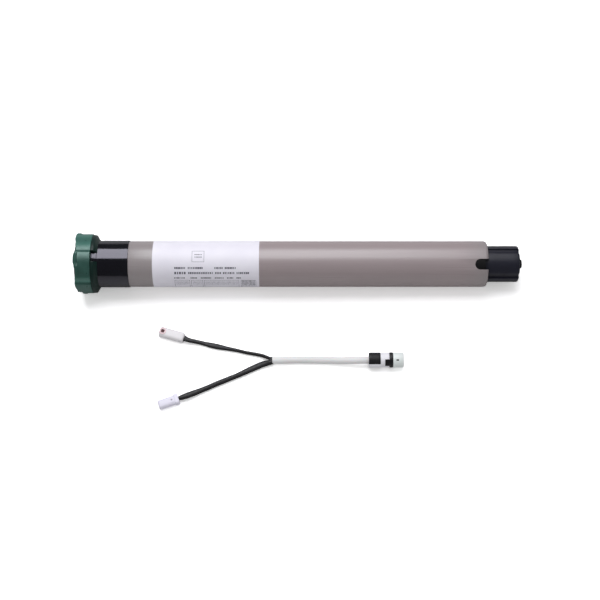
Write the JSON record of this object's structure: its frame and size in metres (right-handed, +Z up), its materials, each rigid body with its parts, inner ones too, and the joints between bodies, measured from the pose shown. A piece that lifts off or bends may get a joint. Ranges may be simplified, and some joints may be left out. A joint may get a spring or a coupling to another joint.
{
  "type": "tubular roller blind motor",
  "caption": "Slim tubular motor for a roller blind: fixed black head with a free-running green crown, grey tube, splined drive hub, and a detachable two-legged supply lead.",
  "frame": {"origin": "centre of the head's end face, on the motor's axis, where the bracket is screwed on", "axes": "+X along the motor's axis from the head to the drive hub, +Z up; the lead lies beside the motor on the -Y side"},
  "size_m": [0.4373, 0.1727, 0.0597],
  "materials": {
    "head_black": "glossy",
    "crown_green": "satin",
    "collar_black": "satin",
    "socket_grey": "satin",
    "contact_brass": "plated",
    "tube_taupe": "satin",
    "label_white": "satin print film",
    "carrier_grey": "matt",
    "board_green": "satin",
    "component_black": "matt",
    "header_white": "matt",
    "wire_red": "matt",
    "wire_black": "matt",
    "can_steel": "zinc plated",
    "magnet_grey": "matt",
    "carbon": "matt",
    "damper_rubber": "matt",
    "bronze": "sintered",
    "core_steel": "matt",
    "copper": "enamelled",
    "gear_steel": "machined",
    "gear_nylon": "matt",
    "cap_black": "satin",
    "hub_black": "satin",
    "screw_black": "blackened",
    "cable_white": "satin",
    "leg_black": "satin",
    "plug_black": "satin",
    "plug_white": "satin",
    "latch_black": "satin",
    "nose_pale": "satin",
    "connector_white": "satin"
  },
  "bodies": {
    "motor_housing": {"head_body": "head_black", "crown_collar": "collar_black", "socket_sleeve": "socket_grey", "socket_base": "socket_grey", "socket_contacts": "contact_brass", "motor_tube": "tube_taupe", "rating_label": "label_white", "board_carrier": "carrier_grey", "control_board": "board_green", "board_capacitors": "component_black", "board_chips": "component_black", "board_headers": "header_white", "socket_leads": "wire_red", "motor_leads": "wire_black", "encoder_board": "board_green", "end_bell": "component_black", "brushes": "carbon", "shaft_bushes": "bronze", "motor_can": "can_steel", "motor_magnets": "magnet_grey", "motor_dampers": "damper_rubber", "gearbox_plate": "can_steel", "motor_screws": "can_steel", "ring_gear": "gear_steel", "gearbox_cap": "cap_black", "output_bush": "bronze", "lead_cable": "cable_white", "lead_leg_a": "leg_black", "lead_leg_b": "leg_black", "plug_grip": "plug_black", "plug_body": "plug_white", "plug_latch": "latch_black", "plug_nose": "nose_pale", "plug_contacts": "contact_brass", "connector_a": "connector_white", "connector_b": "connector_white"},
    "crown_ring": {"crown": "crown_green"},
    "drive": {"output_carrier": "gear_steel", "output_pins": "gear_steel", "drive_hub": "hub_black", "hub_screw": "screw_black"},
    "stage_2_carrier": {"carrier_2": "gear_nylon", "carrier_2_pins": "gear_steel"},
    "stage_1_carrier": {"carrier_1": "gear_nylon", "carrier_1_pins": "gear_steel"},
    "rotor": {"rotor_shaft": "gear_steel", "armature_core": "core_steel", "armature_windings": "copper", "commutator": "copper", "encoder_magnet": "magnet_grey", "sun_gear": "gear_steel"},
    "planet_1a": {"planet_1a": "gear_nylon"},
    "planet_1b": {"planet_1b": "gear_nylon"},
    "planet_1c": {"planet_1c": "gear_nylon"},
    "planet_2a": {"planet_2a": "gear_nylon"},
    "planet_2b": {"planet_2b": "gear_nylon"},
    "planet_2c": {"planet_2c": "gear_nylon"},
    "planet_3a": {"planet_3a": "gear_steel"},
    "planet_3b": {"planet_3b": "gear_steel"},
    "planet_3c": {"planet_3c": "gear_steel"}
  },
  "joints": [
    {"name": "crown_spin", "type": "hinge", "parent": "motor_housing", "child": "crown_ring", "pos_m": [0.0088, 0, 0], "axis": [1, 0, 0], "continuous": true},
    {"name": "drive_spin", "type": "hinge", "parent": "motor_housing", "child": "drive", "pos_m": [0.391, 0, 0], "axis": [1, 0, 0], "continuous": true},
    {"name": "carrier_2_spin", "type": "hinge", "parent": "motor_housing", "child": "stage_2_carrier", "pos_m": [0.36, 0, 0], "axis": [1, 0, 0], "continuous": true},
    {"name": "carrier_1_spin", "type": "hinge", "parent": "motor_housing", "child": "stage_1_carrier", "pos_m": [0.346, 0, 0], "axis": [1, 0, 0], "continuous": true},
    {"name": "rotor_spin", "type": "hinge", "parent": "motor_housing", "child": "rotor", "pos_m": [0.3, 0, 0], "axis": [1, 0, 0], "continuous": true},
    {"name": "planet_1a_spin", "type": "hinge", "parent": "stage_1_carrier", "child": "planet_1a", "pos_m": [0.341, 0.01125, 0], "axis": [1, 0, 0], "continuous": true},
    {"name": "planet_1b_spin", "type": "hinge", "parent": "stage_1_carrier", "child": "planet_1b", "pos_m": [0.341, -0.00562, 0.00974], "axis": [1, 0, 0], "continuous": true},
    {"name": "planet_1c_spin", "type": "hinge", "parent": "stage_1_carrier", "child": "planet_1c", "pos_m": [0.341, -0.00562, -0.00974], "axis": [1, 0, 0], "continuous": true},
    {"name": "planet_2a_spin", "type": "hinge", "parent": "stage_2_carrier", "child": "planet_2a", "pos_m": [0.354, 0.01125, 0], "axis": [1, 0, 0], "continuous": true},
    {"name": "planet_2b_spin", "type": "hinge", "parent": "stage_2_carrier", "child": "planet_2b", "pos_m": [0.354, -0.00562, 0.00974], "axis": [1, 0, 0], "continuous": true},
    {"name": "planet_2c_spin", "type": "hinge", "parent": "stage_2_carrier", "child": "planet_2c", "pos_m": [0.354, -0.00562, -0.00974], "axis": [1, 0, 0], "continuous": true},
    {"name": "planet_3a_spin", "type": "hinge", "parent": "drive", "child": "planet_3a", "pos_m": [0.37, 0.01125, 0], "axis": [1, 0, 0], "continuous": true},
    {"name": "planet_3b_spin", "type": "hinge", "parent": "drive", "child": "planet_3b", "pos_m": [0.37, -0.00562, 0.00974], "axis": [1, 0, 0], "continuous": true},
    {"name": "planet_3c_spin", "type": "hinge", "parent": "drive", "child": "planet_3c", "pos_m": [0.37, -0.00562, -0.00974], "axis": [1, 0, 0], "continuous": true}
  ],
  "couplings": [
    {"joint": "carrier_2_spin", "follows": "drive_spin", "ratio": 5},
    {"joint": "carrier_1_spin", "follows": "drive_spin", "ratio": 25},
    {"joint": "rotor_spin", "follows": "drive_spin", "ratio": 125},
    {"joint": "planet_1a_spin", "follows": "drive_spin", "ratio": -66.667},
    {"joint": "planet_1b_spin", "follows": "drive_spin", "ratio": -66.667},
    {"joint": "planet_1c_spin", "follows": "drive_spin", "ratio": -66.667},
    {"joint": "planet_2a_spin", "follows": "drive_spin", "ratio": -13.333},
    {"joint": "planet_2b_spin", "follows": "drive_spin", "ratio": -13.333},
    {"joint": "planet_2c_spin", "follows": "drive_spin", "ratio": -13.333},
    {"joint": "planet_3a_spin", "follows": "drive_spin", "ratio": -2.6667},
    {"joint": "planet_3b_spin", "follows": "drive_spin", "ratio": -2.6667},
    {"joint": "planet_3c_spin", "follows": "drive_spin", "ratio": -2.6667}
  ]
}
